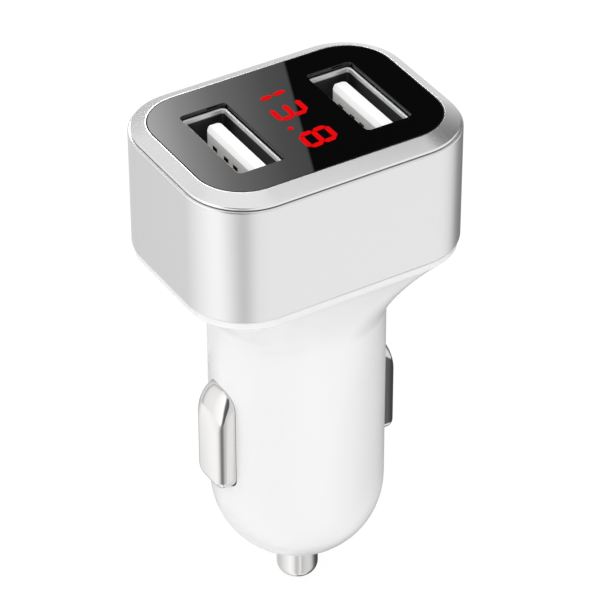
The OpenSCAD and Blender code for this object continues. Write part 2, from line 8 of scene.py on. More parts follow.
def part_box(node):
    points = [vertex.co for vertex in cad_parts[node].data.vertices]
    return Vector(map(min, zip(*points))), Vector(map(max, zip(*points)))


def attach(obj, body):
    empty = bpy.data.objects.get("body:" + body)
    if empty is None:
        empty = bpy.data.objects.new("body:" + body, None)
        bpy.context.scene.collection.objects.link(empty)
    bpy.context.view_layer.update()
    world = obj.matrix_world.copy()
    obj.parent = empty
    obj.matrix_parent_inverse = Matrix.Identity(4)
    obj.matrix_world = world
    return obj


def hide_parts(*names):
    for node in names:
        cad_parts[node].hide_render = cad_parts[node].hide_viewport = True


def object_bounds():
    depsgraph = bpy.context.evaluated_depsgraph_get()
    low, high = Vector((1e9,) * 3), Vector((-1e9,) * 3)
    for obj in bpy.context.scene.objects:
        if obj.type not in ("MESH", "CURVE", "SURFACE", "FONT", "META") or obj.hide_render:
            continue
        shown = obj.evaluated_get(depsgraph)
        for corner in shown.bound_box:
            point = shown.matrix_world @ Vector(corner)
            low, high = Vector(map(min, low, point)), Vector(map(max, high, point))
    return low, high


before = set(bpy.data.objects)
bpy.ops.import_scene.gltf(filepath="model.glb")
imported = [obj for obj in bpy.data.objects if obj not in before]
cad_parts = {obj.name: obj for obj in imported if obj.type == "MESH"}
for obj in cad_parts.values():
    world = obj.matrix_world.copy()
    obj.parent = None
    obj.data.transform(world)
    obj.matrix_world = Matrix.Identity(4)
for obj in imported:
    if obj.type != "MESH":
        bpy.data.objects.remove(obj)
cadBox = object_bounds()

mm = 0.001
weldDistance = 0.002 * mm    # points nearer to each other than this are merged
shortestSide = 0.005 * mm    # a circle keeps this much of a straight side, so its corners stay apart
print("frame loaded:", len(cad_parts), "nodes")


# Frame helpers
def nodeBox(name):
    low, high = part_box(name)
    return Vector(low), Vector(high)


def deselectAll():
    if bpy.context.mode != "OBJECT":
        bpy.ops.object.mode_set(mode="OBJECT")
    bpy.ops.object.select_all(action="DESELECT")


def selectOnly(obj):
    deselectAll()
    obj.select_set(True)
    bpy.context.view_layer.objects.active = obj


def applyModifiers(obj):
    selectOnly(obj)
    for modifier in list(obj.modifiers):
        bpy.ops.object.modifier_apply(modifier=modifier.name)


def bakePlace(obj):
    selectOnly(obj)
    bpy.ops.object.transform_apply(location=True, rotation=True, scale=True)


def finishMesh(obj, smoothDeg=35):
    selectOnly(obj)
    bpy.ops.object.mode_set(mode="EDIT")
    bpy.ops.mesh.select_all(action="SELECT")
    bpy.ops.mesh.remove_doubles(threshold=weldDistance)
    bpy.ops.mesh.normals_make_consistent(inside=False)
    bpy.ops.object.mode_set(mode="OBJECT")
    bpy.ops.object.shade_smooth_by_angle(angle=math.radians(smoothDeg))
    return obj


def softEdges(obj, width, segments=3, angleDeg=40):
    bevel = obj.modifiers.new("edge", "BEVEL")
    bevel.width = width
    bevel.segments = segments
    bevel.limit_method = "ANGLE"
    bevel.angle_limit = math.radians(angleDeg)
    bevel.miter_outer = "MITER_ARC"
    bevel.harden_normals = False
    applyModifiers(obj)


def cutWith(obj, cutter):
    boolean = obj.modifiers.new("cut", "BOOLEAN")
    boolean.operation = "DIFFERENCE"
    boolean.solver = "EXACT"
    boolean.object = cutter
    applyModifiers(obj)
    bpy.data.objects.remove(cutter, do_unlink=True)


# An outline is (length, width, corner radius); it is a circle where the radius is half of both sides
def widen(outline, distance):
    return tuple(size + times * distance for size, times in zip(outline, (2, 2, 1)))


def circle(radius):
    return 2 * radius, 2 * radius, radius


# A point of the ring that follows an outline
def outlinePoint(index, perCorner, length, width, radius):
    corner, step = divmod(index, perCorner)
    angle = math.radians(90 * corner + 90 * step / (perCorner - 1))
    signX = (1, -1, -1, 1)[corner]
    signY = (1, 1, -1, -1)[corner]
    x = signX * max(length / 2 - radius, shortestSide) + radius * math.cos(angle)
    y = signY * max(width / 2 - radius, shortestSide) + radius * math.sin(angle)
    return x, y


# Extrudes a circle whose points are moved to each ring in turn; closed joins the last ring to the first
def stackRings(name, rings, closed=False):
    deselectAll()
    count = len(rings[0])
    bpy.ops.mesh.primitive_circle_add(vertices=count, radius=mm, fill_type="NOTHING")
    obj = bpy.context.object
    obj.name = name
    obj.data.name = name
    bpy.ops.object.mode_set(mode="EDIT")
    bpy.ops.mesh.select_all(action="SELECT")
    mesh = bmesh.from_edit_mesh(obj.data)
    for number, ring in enumerate(rings):
        if number:
            bpy.ops.mesh.extrude_region_move()
            mesh = bmesh.from_edit_mesh(obj.data)
        mesh.verts.ensure_lookup_table()
        for index, place in enumerate(ring):
            mesh.verts[number * count + index].co = place
        bmesh.update_edit_mesh(obj.data)
    starts = (0, (len(rings) - 1) * count)
    bpy.ops.mesh.select_mode(type="VERT")
    for pair in (starts,) if closed else ((starts[0],), (starts[1],)):
        bpy.ops.mesh.select_all(action="DESELECT")
        mesh = bmesh.from_edit_mesh(obj.data)
        mesh.verts.ensure_lookup_table()
        for start in pair:
            for index in range(count):
                mesh.verts[start + index].select = True
        mesh.select_flush(True)
        bmesh.update_edit_mesh(obj.data)
        if closed:
            bpy.ops.mesh.select_mode(type="EDGE")
            bpy.ops.mesh.bridge_edge_loops()
        else:
            bpy.ops.mesh.edge_face_add()
    bpy.ops.object.mode_set(mode="OBJECT")
    return finishMesh(obj)


# Stack of outlines, given as (length, width, radius, z)
def ringStack(name, sections, perCorner=17, closed=False, centre=(0, 0)):
    rings = []
    for length, width, radius, z in sections:
        flat = [outlinePoint(index, perCorner, length, width, radius)
                for index in range(4 * perCorner)]
        rings.append([(x + centre[0], y + centre[1], z) for x, y in flat])
    return stackRings(name, rings, closed)


# Materials
def hexColour(code):
    channels = [int(code[i:i + 2], 16) / 255 for i in (1, 3, 5)]
    linear = [c / 12.92 if c <= 0.04045 else ((c + 0.055) / 1.055) ** 2.4 for c in channels]
    return (*linear, 1.0)


def addNode(tree, kind, inputs=None, links=None, **settings):
    node = tree.nodes.new(kind)
    for key, value in settings.items():
        setattr(node, key, value)
    for key, value in (inputs or {}).items():
        node.inputs[key].default_value = value
    for key, source in (links or {}).items():
        tree.links.new(source, node.inputs[key])
    return node


def emptyMaterial(name):
    material = bpy.data.materials.new(name)
    material.use_nodes = True
    material.node_tree.nodes.clear()
    return material, material.node_tree


def newMaterial(name):
    material, tree = emptyMaterial(name)
    shader = addNode(tree, "ShaderNodeBsdfPrincipled")
    addNode(tree, "ShaderNodeOutputMaterial", links={"Surface": shader.outputs["BSDF"]})
    place = addNode(tree, "ShaderNodeTexCoord").outputs["Object"]
    return material, tree, shader, place


def wear(obj, material):
    obj.data.materials.clear()
    obj.data.materials.append(material)


def grain(tree, place, sizeMm, detail=2.0):
    return addNode(tree, "ShaderNodeTexNoise", inputs={"Scale": 1 / (sizeMm * mm), "Detail": detail},
                   links={"Vector": place})


# Lets a number of the shader follow a pattern, from low to high
def vary(tree, shader, socket, source, low, high):
    spread = addNode(tree, "ShaderNodeMapRange", inputs={"To Min": low, "To Max": high},
                     links={"Value": source})
    tree.links.new(spread.outputs["Result"], shader.inputs[socket])


def bump(tree, shader, source, depthMm, strength):
    node = addNode(tree, "ShaderNodeBump", inputs={"Strength": strength, "Distance": depthMm * mm},
                   links={"Height": source})
    tree.links.new(node.outputs["Normal"], shader.inputs["Normal"])


# Anodised aluminium, bead blasted: bright satin metal with a fine sparkle
def anodisedAluminium():
    settings = {"colour": "#E6E6E7", "gritMm": 0.16, "roughness": (0.26, 0.36), "bumpMm": 0.012, "bump": 0.35}
    material, tree, shader, place = newMaterial("anodised_aluminium")
    shader.inputs["Base Color"].default_value = hexColour(settings["colour"])
    shader.inputs["Metallic"].default_value = 1.0
    grit = grain(tree, place, settings["gritMm"])
    vary(tree, shader, "Roughness", grit.outputs["Fac"], *settings["roughness"])
    bump(tree, shader, grit.outputs["Fac"], settings["bumpMm"], settings["bump"])
    return material


# Cut and clear-anodised aluminium ring: smoother than the sleeve, its grain drawn coarse enough to show
def cutAluminium():
    settings = {"colour": "#EFEFF0", "gritMm": 0.18, "roughness": (0.2, 0.3), "bumpMm": 0.014, "bump": 0.5}
    material, tree, shader, place = newMaterial("cut_aluminium")
    shader.inputs["Base Color"].default_value = hexColour(settings["colour"])
    shader.inputs["Metallic"].default_value = 1.0
    grit = grain(tree, place, settings["gritMm"])
    vary(tree, shader, "Roughness", grit.outputs["Fac"], *settings["roughness"])
    bump(tree, shader, grit.outputs["Fac"], settings["bumpMm"], settings["bump"])
    return material


# ABS, injection moulded in a polished tool: clean white with a soft gloss
def glossAbs():
    settings = {"colour": "#F3F3F3", "ior": 1.53, "flowMm": 9.0, "roughness": (0.2, 0.28), "bumpMm": 0.02,
                "bump": 0.1}
    material, tree, shader, place = newMaterial("gloss_white_abs")
    shader.inputs["Base Color"].default_value = hexColour(settings["colour"])
    shader.inputs["IOR"].default_value = settings["ior"]
    flow = grain(tree, place, settings["flowMm"])
    vary(tree, shader, "Roughness", flow.outputs["Fac"], *settings["roughness"])
    bump(tree, shader, flow.outputs["Fac"], settings["bumpMm"], settings["bump"])
    return material


# Acrylic, black and polished: deep mirror-like face
def blackAcrylic():
    settings = {"colour": "#050506", "ior": 1.49, "hazeMm": 4.0, "roughness": (0.003, 0.009)}
    material, tree, shader, place = newMaterial("black_acrylic")
    shader.inputs["Base Color"].default_value = hexColour(settings["colour"])
    shader.inputs["IOR"].default_value = settings["ior"]
    haze = grain(tree, place, settings["hazeMm"])
    vary(tree, shader, "Roughness", haze.outputs["Fac"], *settings["roughness"])
    return material


# Nickel plate on stamped sheet: bright, with faint draw waves
def nickelPlate():
    settings = {"colour": "#DFDEDD", "waveMm": 1.6, "roughness": (0.1, 0.18), "bumpMm": 0.02, "bump": 0.12}
    material, tree, shader, place = newMaterial("nickel_plate")
    shader.inputs["Base Color"].default_value = hexColour(settings["colour"])
    shader.inputs["Metallic"].default_value = 1.0
    wave = grain(tree, place, settings["waveMm"])
    vary(tree, shader, "Roughness", wave.outputs["Fac"], *settings["roughness"])
    bump(tree, shader, wave.outputs["Fac"], settings["bumpMm"], settings["bump"])
    return material


# A metal or plastic of the inside, with a grain of its own; glow is painted light, an emission in the part's
# own colour that stands in for light scattered inside it
def innerMaterial(name, colour, metallic, roughness, gritMm, bumpMm, glow=0.0):
    settings = {"spread": 0.06, "lowest": 0.02, "bump": 0.3}
    material, tree, shader, place = newMaterial(name)
    shader.inputs["Base Color"].default_value = hexColour(colour)
    shader.inputs["Metallic"].default_value = metallic
    # Painted light: with a glow above nought the part shines in its own colour
    shader.inputs["Emission Color"].default_value = hexColour(colour)
    shader.inputs["Emission Strength"].default_value = glow
    grit = grain(tree, place, gritMm)
    low = max(roughness - settings["spread"], settings["lowest"])
    vary(tree, shader, "Roughness", grit.outputs["Fac"], low, roughness + settings["spread"])
    bump(tree, shader, grit.outputs["Fac"], bumpMm, settings["bump"])
    return material


# Light guide lit from behind: pure red, a little uneven
def litRed():
    settings = {"unlit": "#120203", "glow": "#E90A0E", "moteMm": 0.8, "roughness": 0.6,
                "strength": (0.94, 1.04)}
    material, tree, shader, place = newMaterial("lit_red_segment")
    shader.inputs["Base Color"].default_value = hexColour(settings["unlit"])
    shader.inputs["Specular IOR Level"].default_value = 0.0
    shader.inputs["Roughness"].default_value = settings["roughness"]
    shader.inputs["Emission Color"].default_value = hexColour(settings["glow"])
    mote = grain(tree, place, settings["moteMm"])
    vary(tree, shader, "Emission Strength", mote.outputs["Fac"], *settings["strength"])
    return material


# Tinned steel sheet, bright at the rim; its colour holds painted shade, a dark grey down inside the outlet
# that stands in for the shade where no light reaches
def tinnedSteel():
    settings = {"rim": "#DCDDDF", "deep": "#2A2A2C", "rimMm": 0.6, "blendMm": 0.15, "gritMm": 0.3,
                "metallic": 0.6, "roughness": (0.36, 0.48)}
    material, tree, shader, place = newMaterial("tinned_steel_painted_shade")
    shader.inputs["Metallic"].default_value = settings["metallic"]
    # Painted shade: the base colour is a painted dark grey below the rim band and the bright steel colour
    # within the band at the rim
    height = addNode(tree, "ShaderNodeSeparateXYZ", links={"Vector": place})
    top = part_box("usb_shell_left")[1][2]
    edge = top - settings["rimMm"] * mm
    paintedShadeMask = addNode(tree, "ShaderNodeMapRange", links={"Value": height.outputs["Z"]},
                    inputs={"From Min": edge, "From Max": edge + settings["blendMm"] * mm})
    paintedShadeTint = addNode(tree, "ShaderNodeMix", data_type="RGBA", links={"Factor": paintedShadeMask.outputs["Result"]})
    paintedShadeTint.inputs["A"].default_value = hexColour(settings["deep"])
    paintedShadeTint.inputs["B"].default_value = hexColour(settings["rim"])
    tree.links.new(paintedShadeTint.outputs["Result"], shader.inputs["Base Color"])
    grit = grain(tree, place, settings["gritMm"])
    vary(tree, shader, "Roughness", grit.outputs["Fac"], *settings["roughness"])
    return material


aluminium = anodisedAluminium()
cutRing = cutAluminium()
whiteAbs = glossAbs()
acrylic = blackAcrylic()
nickel = nickelPlate()
redLight = litRed()
shellSteel = tinnedSteel()

# Inside: colour, metallic, roughness, grain size and bump depth in mm
# The nylon tongues carry a painted glow of 0.16, standing in for light scattered inside them
tongueNylon = innerMaterial("white_nylon_painted_glow", "#FBFBFA", 0.0, 0.36, 0.2, 0.004, glow=0.16)  # moulded: soft white
goldPlate = innerMaterial("gold_plate", "#E3BE6A", 1.0, 0.2, 0.2, 0.002)  # plated strip: smooth and warm
blackAbs = innerMaterial("black_abs", "#141416", 0.0, 0.5, 0.3, 0.006)  # eroded mould: dull black
springSteel = innerMaterial("spring_steel", "#A9ABAE", 1.0, 0.28, 0.1, 0.002)  # drawn wire: clean grey
brassSheet = innerMaterial("brass_sheet", "#D7B25E", 1.0, 0.3, 0.2, 0.003)  # stamped sheet: warm satin
boardResin = innerMaterial("board_resin", "#1E5A36", 0.0, 0.35, 0.4, 0.006)  # solder mask: half-gloss green
ferrite = innerMaterial("sintered_ferrite", "#2B2B2E", 0.0, 0.6, 0.15, 0.008)  # pressed powder: dull grey
enamelledCopper = innerMaterial("enamelled_copper", "#B3653A", 1.0, 0.3, 0.25, 0.02)  # wound wire: uneven
canSleeve = innerMaterial("can_sleeve_film", "#2E3B57", 0.0, 0.3, 1.2, 0.004)  # shrunk film: smooth dark blue
epoxyChip = innerMaterial("epoxy_chip", "#17181A", 0.0, 0.6, 0.08, 0.004)  # moulded resin: dull black
ceramicChip = innerMaterial("fired_ceramic", "#B49A74", 0.0, 0.5, 0.1, 0.004)  # fired body: dry tan
darkDiffuser = innerMaterial("dark_diffuser", "#2A0708", 0.0, 0.4, 0.3, 0.003)  # tinted resin, not lit

nodeMaterials = {
    "front_panel": acrylic, "top_bezel": cutRing, "head_sleeve": aluminium, "head_carrier": blackAbs,
    "barrel_housing": whiteAbs, "tip_contact": nickel, "tip_spring": springSteel,
    "spring_terminal": brassSheet, "side_contact_left": nickel, "side_contact_right": nickel,
    "usb_shell_left": shellSteel, "usb_shell_right": shellSteel, "usb_insert_left": tongueNylon,
    "usb_insert_right": tongueNylon, "usb_pins_left": goldPlate, "usb_pins_right": goldPlate,
    "display_case": blackAbs, "display_segments_lit": redLight, "display_segments_dark": darkDiffuser,
    "head_board": boardResin, "main_board": boardResin, "inductor_core": ferrite,
    "inductor_coil": enamelledCopper, "input_capacitor": canSleeve, "output_capacitor": canSleeve,
    "converter_chip": epoxyChip, "display_chip": epoxyChip, "diode": epoxyChip,
    "fuse": ceramicChip, "chip_components": ceramicChip,
}
for nodeName, material in nodeMaterials.items():
    wear(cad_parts[nodeName], material)
print("materials on", len(nodeMaterials), "nodes")


# Head
sleeveLow, sleeveHigh = nodeBox("head_sleeve")
panelLow, panelHigh = nodeBox("front_panel")
bezelLow = nodeBox("top_bezel")[0]
housingLow = nodeBox("barrel_housing")[0]
head = {
    "outline": (sleeveHigh.x - sleeveLow.x, sleeveHigh.y - sleeveLow.y, 7.6 * mm),
    "panel": (panelHigh.x - panelLow.x, panelHigh.y - panelLow.y, 5.7 * mm),
    "wall": 1.0 * mm, "step": 0.3 * mm,    # the sleeve stands out from the bezel and the housing by a step
    "bottom": sleeveLow.z, "seam": sleeveHigh.z, "panelTop": panelHigh.z,
}


def sleevePiece():
    sizes = {"edge": 0.16 * mm}
    outer = head["outline"]
    inner = widen(outer, -head["wall"])
    piece = ringStack("sleeve_metal", [(*outer, head["bottom"]), (*outer, head["seam"]),
                                       (*inner, head["seam"]), (*inner, head["bottom"])], closed=True)
    softEdges(piece, sizes["edge"])
    finishMesh(piece)
    wear(piece, aluminium)
    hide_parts("head_sleeve")
    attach(piece, "housing")


def bezelPiece():
    sizes = {"land": 0.38 * mm, "joint": 0.06 * mm, "lip": 0.12 * mm, "edge": 0.06 * mm,
             "skirtGap": 0.1 * mm, "panelGap": 0.03 * mm}
    outer = widen(head["outline"], -head["step"])
    skirt = widen(head["outline"], -head["wall"] - sizes["skirtGap"])
    opening = widen(head["panel"], sizes["panelGap"])
    lip = widen(opening, sizes["lip"])
    foot, top = head["seam"] + sizes["joint"], head["panelTop"]
    sections = [
        (*skirt, bezelLow.z), (*skirt, foot), (*outer, foot), (*outer, head["seam"] + sizes["land"]),
        (*lip, top), (*opening, top), (*opening, bezelLow.z),
    ]
    piece = ringStack("bezel_ring", sections, closed=True)
    softEdges(piece, sizes["edge"], angleDeg=20)
    finishMesh(piece, 25)
    wear(piece, cutRing)
    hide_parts("top_bezel")
    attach(piece, "housing")


def panelPiece():
    sizes = {"edge": 0.1 * mm, "mouthEdge": 0.06 * mm, "mouthGap": 0.1 * mm, "mouthCorner": 0.5 * mm}
    piece = ringStack("panel_acrylic", [(*head["panel"], panelLow.z), (*head["panel"], panelHigh.z)])
    softEdges(piece, sizes["edge"], angleDeg=60)
    for side in ("left", "right"):
        low, high = nodeBox("usb_shell_" + side)
        centre = ((low.x + high.x) / 2, (low.y + high.y) / 2)
        mouth = (high.x - low.x + 2 * sizes["mouthGap"], high.y - low.y + 2 * sizes["mouthGap"],
                 sizes["mouthCorner"])
        wide = widen(mouth, sizes["mouthEdge"])
        cutter = ringStack("mouth_cutter", [
            (*mouth, panelLow.z - mm), (*mouth, panelHigh.z - sizes["mouthEdge"]),
            (*wide, panelHigh.z), (*wide, panelHigh.z + mm)], perCorner=7, centre=centre)
        cutWith(piece, cutter)
    finishMesh(piece, 30)
    wear(piece, acrylic)
    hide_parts("front_panel")
    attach(piece, "housing")


def shellPiece(side):
    sizes = {"sheet": 0.3 * mm, "corner": 0.5 * mm, "edge": 0.08 * mm}
    low, high = nodeBox("usb_shell_" + side)
    foot = nodeBox("usb_insert_" + side)[0].z
    outer = (high.x - low.x, high.y - low.y, sizes["corner"])
    inner = (*(v - 2 * sizes["sheet"] for v in outer[:2]), sizes["corner"] - sizes["sheet"] / 2)
    centre = ((low.x + high.x) / 2, (low.y + high.y) / 2)
    sections = [(*outer, foot), (*outer, high.z), (*inner, high.z), (*inner, foot)]
    piece = ringStack("outlet_shell_" + side, sections, perCorner=7, closed=True, centre=centre)
    softEdges(piece, sizes["edge"], segments=2, angleDeg=60)
    finishMesh(piece)
    wear(piece, shellSteel)
    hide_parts("usb_shell_" + side)
    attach(piece, "housing")


sleevePiece()
bezelPiece()
panelPiece()
shellPiece("left")
shellPiece("right")
print("head built")


# Housing: one moulding with rounded end, barrel, flared neck and rim
barrel = {
    "radius": 10.5 * mm, "halfLength": 11.7 * mm, "domeHeight": 10.45 * mm, "wall": 1.4 * mm,
    "tipHole": 2.6 * mm, "neckBottom": 13.3 * mm, "rimBottom": head["bottom"] - 1.0 * mm,
}


def housingPiece():
    sizes = {"domeSteps": 16, "neckSteps": 22, "flarePower": 1.6, "flareRound": 0.88, "inset": 3 * mm,
             "floorHeight": 2.7 * mm, "floorRadius": 4.5 * mm, "holeEdge": 0.3 * mm, "holeLip": 0.1 * mm}
    radius = barrel["radius"]
    inner = circle(radius - barrel["wall"])
    hole = circle(barrel["tipHole"])
    rim = widen(head["outline"], -head["step"])
    neckHeight = barrel["rimBottom"] - barrel["neckBottom"]
    floorZ = housingLow.z + sizes["floorHeight"]
    sections = []
    startAngle = math.asin((barrel["tipHole"] + sizes["holeEdge"]) / radius)
    for number in range(sizes["domeSteps"] + 1):    # rounded end
        angle = startAngle + (math.pi / 2 - startAngle) * number / sizes["domeSteps"]
        height = -barrel["halfLength"] - barrel["domeHeight"] * math.cos(angle)
        sections.append((*circle(radius * math.sin(angle)), height))
    sections.append((*circle(radius), barrel["neckBottom"]))
    for number in range(1, sizes["neckSteps"] + 1):    # neck that flares to the rim
        share = number / sizes["neckSteps"]
        flare = 1 - (1 - share ** sizes["flarePower"]) ** sizes["flareRound"]
        size = tuple(a + (b - a) * flare for a, b in zip(circle(radius), rim))
        sections.append((*size, barrel["neckBottom"] + neckHeight * share))
    sections += [
        (*rim, head["bottom"]), (*widen(rim, -sizes["inset"]), head["bottom"]),
        (*inner, barrel["halfLength"]), (*inner, -barrel["halfLength"]),
        (*circle(sizes["floorRadius"]), floorZ), (*hole, floorZ), (*hole, sections[0][3] + sizes["holeLip"]),
    ]
    return ringStack("housing_white", sections, perCorner=25, closed=True)


# Front outline of a side contact, in (y, z), with rounded corners of two sizes
def contactRing(x, width, top, bottom, headRadius, footRadius, steps=9):
    ring = []
    corners = ((1, top - headRadius, headRadius, 0), (-1, top - headRadius, headRadius, 90),
               (-1, bottom + footRadius, footRadius, 180), (1, bottom + footRadius, footRadius, 270))
    for side, height, radius, start in corners:
        for number in range(steps + 1):
            angle = math.radians(start + 90 * number / steps)
            across = side * (width / 2 - radius) + radius * math.cos(angle)
            ring.append((x, across, height + radius * math.sin(angle)))
    return ring


contact = {
    "width": 5.75 * mm, "top": 5.2 * mm, "bottom": -8.45 * mm, "head": 2.2 * mm, "foot": 1.4 * mm,
    "inside": 9.2 * mm, "root": 10.3 * mm, "face": 12.25 * mm, "stepDeg": 6,
    "edge": 0.95 * mm, "cornerShare": 0.8, "slope": 4.1 * mm, "shoulder": 0.8, "curl": 0.9 * mm,
    "gap": 0.05 * mm, "drop": 0.17 * mm, "cut": (8 * mm, 13 * mm),    # drop: room for the pressed contact
}


def windowCuts(piece):
    width, top = contact["width"] + 2 * contact["gap"], contact["top"] + contact["gap"]
    bottom = contact["bottom"] - contact["drop"]
    for outward in (-1, 1):
        rings = [contactRing(outward * x, width, top, bottom, contact["head"], contact["foot"])
                 for x in contact["cut"]]
        cutWith(piece, stackRings("window_cutter", rings))


# Quarter of a circle: 0 up to the start, then steeper and steeper to 1 at the reach
def quarter(x, start, reach):
    share = min(max((x - start) / reach, 0), 1)
    return 1 - math.sqrt(1 - share * share)


# Stamped contact: each ring further out is a little lower, shorter and narrower
def contactPiece(side):
    outward = -1 if side == "left" else 1
    root, face = contact["root"], contact["face"]
    degrees = range(contact["stepDeg"], 90, contact["stepDeg"])
    places = [contact["inside"], root]
    places += [root + (face - root) * math.sin(math.radians(a)) for a in degrees]
    places.append(face)
    rings = []
    for x in places:
        narrow = contact["edge"] * quarter(x, face - contact["edge"], contact["edge"])
        tighter = narrow * contact["cornerShare"]
        fall = quarter(x, root, face - root) ** contact["shoulder"]
        top = contact["top"] - contact["slope"] * fall
        bottom = contact["bottom"] + contact["curl"] * quarter(x, face - contact["curl"], contact["curl"])
        rings.append(contactRing(outward * x, contact["width"] - 2 * narrow, top, bottom,
                                 contact["head"] - tighter, contact["foot"] - tighter))
    piece = stackRings("contact_metal_" + side, rings)
    finishMesh(piece, 40)
    wear(piece, nickel)
    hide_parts("side_contact_" + side)
    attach(piece, side + "_contact")


housing = housingPiece()
windowCuts(housing)
finishMesh(housing, 30)
wear(housing, whiteAbs)
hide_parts("barrel_housing")
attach(housing, "housing")
print("housing built")

contactPiece("left")
contactPiece("right")
print("contacts built")


# Lit digits: they read along the outlets' long side, with their tops towards the right outlet
display = {
    "height": 4.2 * mm, "width": 3.2 * mm, "stroke": 0.68 * mm, "places": (6.3 * mm, 1.5 * mm, -4.8 * mm),
    "slant": math.radians(5), "gap": 0.04 * mm, "top": head["panelTop"] + 0.01 * mm, "thick": 0.02 * mm,
    "digits": ("0110000", "1111001", "1111111"), "point": (-1.78 * mm, -1.85 * mm), "pointSize": 0.65 * mm,
}


def segmentBar(length, centre, turned):
    half = display["stroke"] / 2
    outline = [(-length / 2, 0), (-length / 2 + half, -half), (length / 2 - half, -half),
               (length / 2, 0), (length / 2 - half, half), (-length / 2 + half, half)]
    deselectAll()
    bpy.ops.mesh.primitive_circle_add(vertices=6, radius=mm, fill_type="NGON")
    bar = bpy.context.object
    for vertex, (along, across) in zip(bar.data.vertices, outline):
        x, y = (across, along) if turned else (along, across)
        x, y = x + centre[0], y + centre[1]
        vertex.co = (x, y + x * math.tan(display["slant"]), display["top"])
    return bar


def litDigits():
    halfH = (display["height"] - display["stroke"]) / 2
    halfW = (display["width"] - display["stroke"]) / 2
    across = 2 * halfW - 2 * display["gap"]
    along = halfH - 2 * display["gap"]
    # Each segment's middle, and whether it is turned
    places = [(halfH, 0, True), (halfH / 2, -halfW, False), (-halfH / 2, -halfW, False), (-halfH, 0, True),
              (-halfH / 2, halfW, False), (halfH / 2, halfW, False), (0, 0, True)]
    bars = []
    for shift, lit in zip(display["places"], display["digits"]):
        for flag, (x, y, turned) in zip(lit, places):
            if flag == "1":
                bar = segmentBar(across if turned else along, (x, y), turned)
                for vertex in bar.data.vertices:
                    vertex.co.y += shift
                bars.append(bar)
    deselectAll()
    bpy.ops.mesh.primitive_circle_add(vertices=20, radius=display["pointSize"] / 2, fill_type="NGON",
                                      location=(*display["point"], display["top"]))
    bakePlace(bpy.context.object)
    bars.append(bpy.context.object)
    deselectAll()
    for bar in bars:
        bar.select_set(True)
    bpy.context.view_layer.objects.active = bars[0]
    bpy.ops.object.join()
    piece = bpy.context.object
    piece.name = "digits_lit"
    solid = piece.modifiers.new("thick", "SOLIDIFY")
    solid.thickness = display["thick"]
    solid.offset = 1
    applyModifiers(piece)
    finishMesh(piece)
    wear(piece, redLight)
    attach(piece, "housing")


litDigits()
print("digits built")


# Stage: pale floor, soft light and the cards that the panel and the metal mirror
stage = {
    "floorSize": 4.0, "floorZ": cadBox[0][2] - 0.5 * mm, "floorColour": "#F7F7F7", "floorGlow": 1.05,
    "glowShare": 0.86, "ambient": 0.8, "zenith": 0.9, "lowEdge": (-0.5, -0.4), "zenithEdge": (0.82, 0.9),
}
lamps = {
    "key_lamp": {"place": (-0.36, -0.24, 0.36), "aim": (0, 0, 0), "size": 0.3, "power": 0.66},
    "fill_lamp": {"place": (0.3, -0.4, 0.2), "aim": (0, 0, 0), "size": 0.3, "power": 0.12},
    "top_lamp": {"place": (-0.1, -0.16, 0.6), "aim": (0, 0, 0.04), "size": 0.2, "power": 0.3},
}


# One shader for the named kinds of ray, and the other one for the rest
def lightPathMix(tree, whenSeen, otherwise, kinds=("Is Camera Ray",)):
    path = addNode(tree, "ShaderNodeLightPath")
    source = path.outputs[kinds[0]]
    for kind in kinds[1:]:
        total = addNode(tree, "ShaderNodeMath", operation="MAXIMUM")
        tree.links.new(source, total.inputs[0])
        tree.links.new(path.outputs[kind], total.inputs[1])
        source = total.outputs[0]
    mix = addNode(tree, "ShaderNodeMixShader", links={"Fac": source})
    tree.links.new(otherwise, mix.inputs[1])
    tree.links.new(whenSeen, mix.inputs[2])
    return mix.outputs[0]


# Grey tones round the compass, as (degrees, tone)
def toneRamp(tree, compass, tones):
    ramp = addNode(tree, "ShaderNodeValToRGB", links={"Fac": compass})
    elements = ramp.color_ramp.elements
    while len(elements) > 1:
        elements.remove(elements[-1])
    for number, (degrees, tone) in enumerate(tones):
        position = (degrees + 180) / 360
        element = elements[0] if number == 0 else elements.new(position)
        element.position = position
        element.color = (tone, tone, tone, 1)
    return ramp.outputs["Color"]


def blendTones(tree, height, edge, below, above):
    share = addNode(tree, "ShaderNodeMapRange", inputs={"From Min": edge[0], "From Max": edge[1]},
                    links={"Value": height})
    mix = addNode(tree, "ShaderNodeMix", data_type="RGBA", links={"Factor": share.outputs["Result"]})
    tree.links.new(below, mix.inputs["A"])
    tree.links.new(above, mix.inputs["B"])
    return mix.outputs["Result"]


